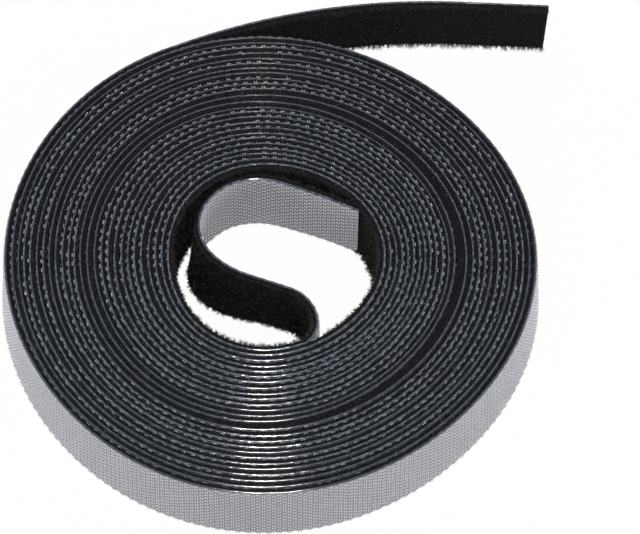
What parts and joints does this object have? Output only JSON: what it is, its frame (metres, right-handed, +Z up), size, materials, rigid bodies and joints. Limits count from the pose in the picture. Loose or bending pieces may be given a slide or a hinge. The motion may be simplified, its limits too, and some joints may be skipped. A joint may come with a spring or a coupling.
{
  "type": "hook and loop tape roll",
  "caption": "Coreless roll of back-to-back hook and loop tape lying on its edge, with a free outer tail and an inner end that curls back inside the bore.",
  "frame": {"origin": "on the surface the roll lies on, under the middle of the whole tape's bounding box", "axes": "+Z up along the roll's axis, across the tape's width; +X to the right and +Y away from the picture's camera; the tail runs towards +X on the +Y side"},
  "size_m": [0.1252, 0.1318, 0.0191],
  "materials": {
    "hook_film": "grey moulded film with a fine grid of hooks, satin",
    "loop_fabric": "black brushed loop pile, matt"
  },
  "bodies": {
    "roll": {"hook_film_inner_turns": "hook_film", "loop_fabric_inner_turns": "loop_fabric", "hook_film_outer_turns": "hook_film", "loop_fabric_outer_turns": "loop_fabric"},
    "tail_root": {"hook_film_tail_root": "hook_film", "loop_fabric_tail_root": "loop_fabric"},
    "tail_middle": {"hook_film_tail_middle": "hook_film", "loop_fabric_tail_middle": "loop_fabric"},
    "tail_tip": {"hook_film_tail_tip": "hook_film", "loop_fabric_tail_tip": "loop_fabric"},
    "curl_side": {"hook_film_curl_side": "hook_film", "loop_fabric_curl_side": "loop_fabric"},
    "curl_crown": {"hook_film_curl_crown": "hook_film", "loop_fabric_curl_crown": "loop_fabric"},
    "curl_end": {"hook_film_curl_end": "hook_film", "loop_fabric_curl_end": "loop_fabric"}
  },
  "joints": [
    {"name": "tail_peel", "type": "hinge", "parent": "roll", "child": "tail_root", "pos_m": [-0.02382, 0.05133, 0.00953], "axis": [0, 0, 1], "range_deg": [-5, 30], "stiffness_Nm_per_rad": 0.004},
    {"name": "tail_middle_bend", "type": "hinge", "parent": "tail_root", "child": "tail_middle", "pos_m": [0.00366, 0.06156, 0.00953], "axis": [0, 0, 1], "range_deg": [-5, 30], "stiffness_Nm_per_rad": 0.004},
    {"name": "tail_tip_bend", "type": "hinge", "parent": "tail_middle", "child": "tail_tip", "pos_m": [0.03309, 0.06545, 0.00953], "axis": [0, 0, 1], "range_deg": [-5, 30], "stiffness_Nm_per_rad": 0.004},
    {"name": "curl_fold", "type": "hinge", "parent": "roll", "child": "curl_side", "pos_m": [0.00381, -0.01361, 0.00953], "axis": [0, 0, 1], "range_deg": [0, 12], "stiffness_Nm_per_rad": 0.004},
    {"name": "curl_side_bend", "type": "hinge", "parent": "curl_side", "child": "curl_crown", "pos_m": [-0.0177, 0.00177, 0.00953], "axis": [0, 0, 1], "range_deg": [-18, 0], "stiffness_Nm_per_rad": 0.004},
    {"name": "curl_crown_bend", "type": "hinge", "parent": "curl_crown", "child": "curl_end", "pos_m": [-0.00325, 0.01554, 0.00953], "axis": [0, 0, 1], "range_deg": [-18, 0], "stiffness_Nm_per_rad": 0.004}
  ],
  "couplings": [
    {"joint": "tail_middle_bend", "follows": "tail_peel", "ratio": 1},
    {"joint": "tail_tip_bend", "follows": "tail_peel", "ratio": 1},
    {"joint": "curl_crown_bend", "follows": "curl_side_bend", "ratio": 1}
  ]
}
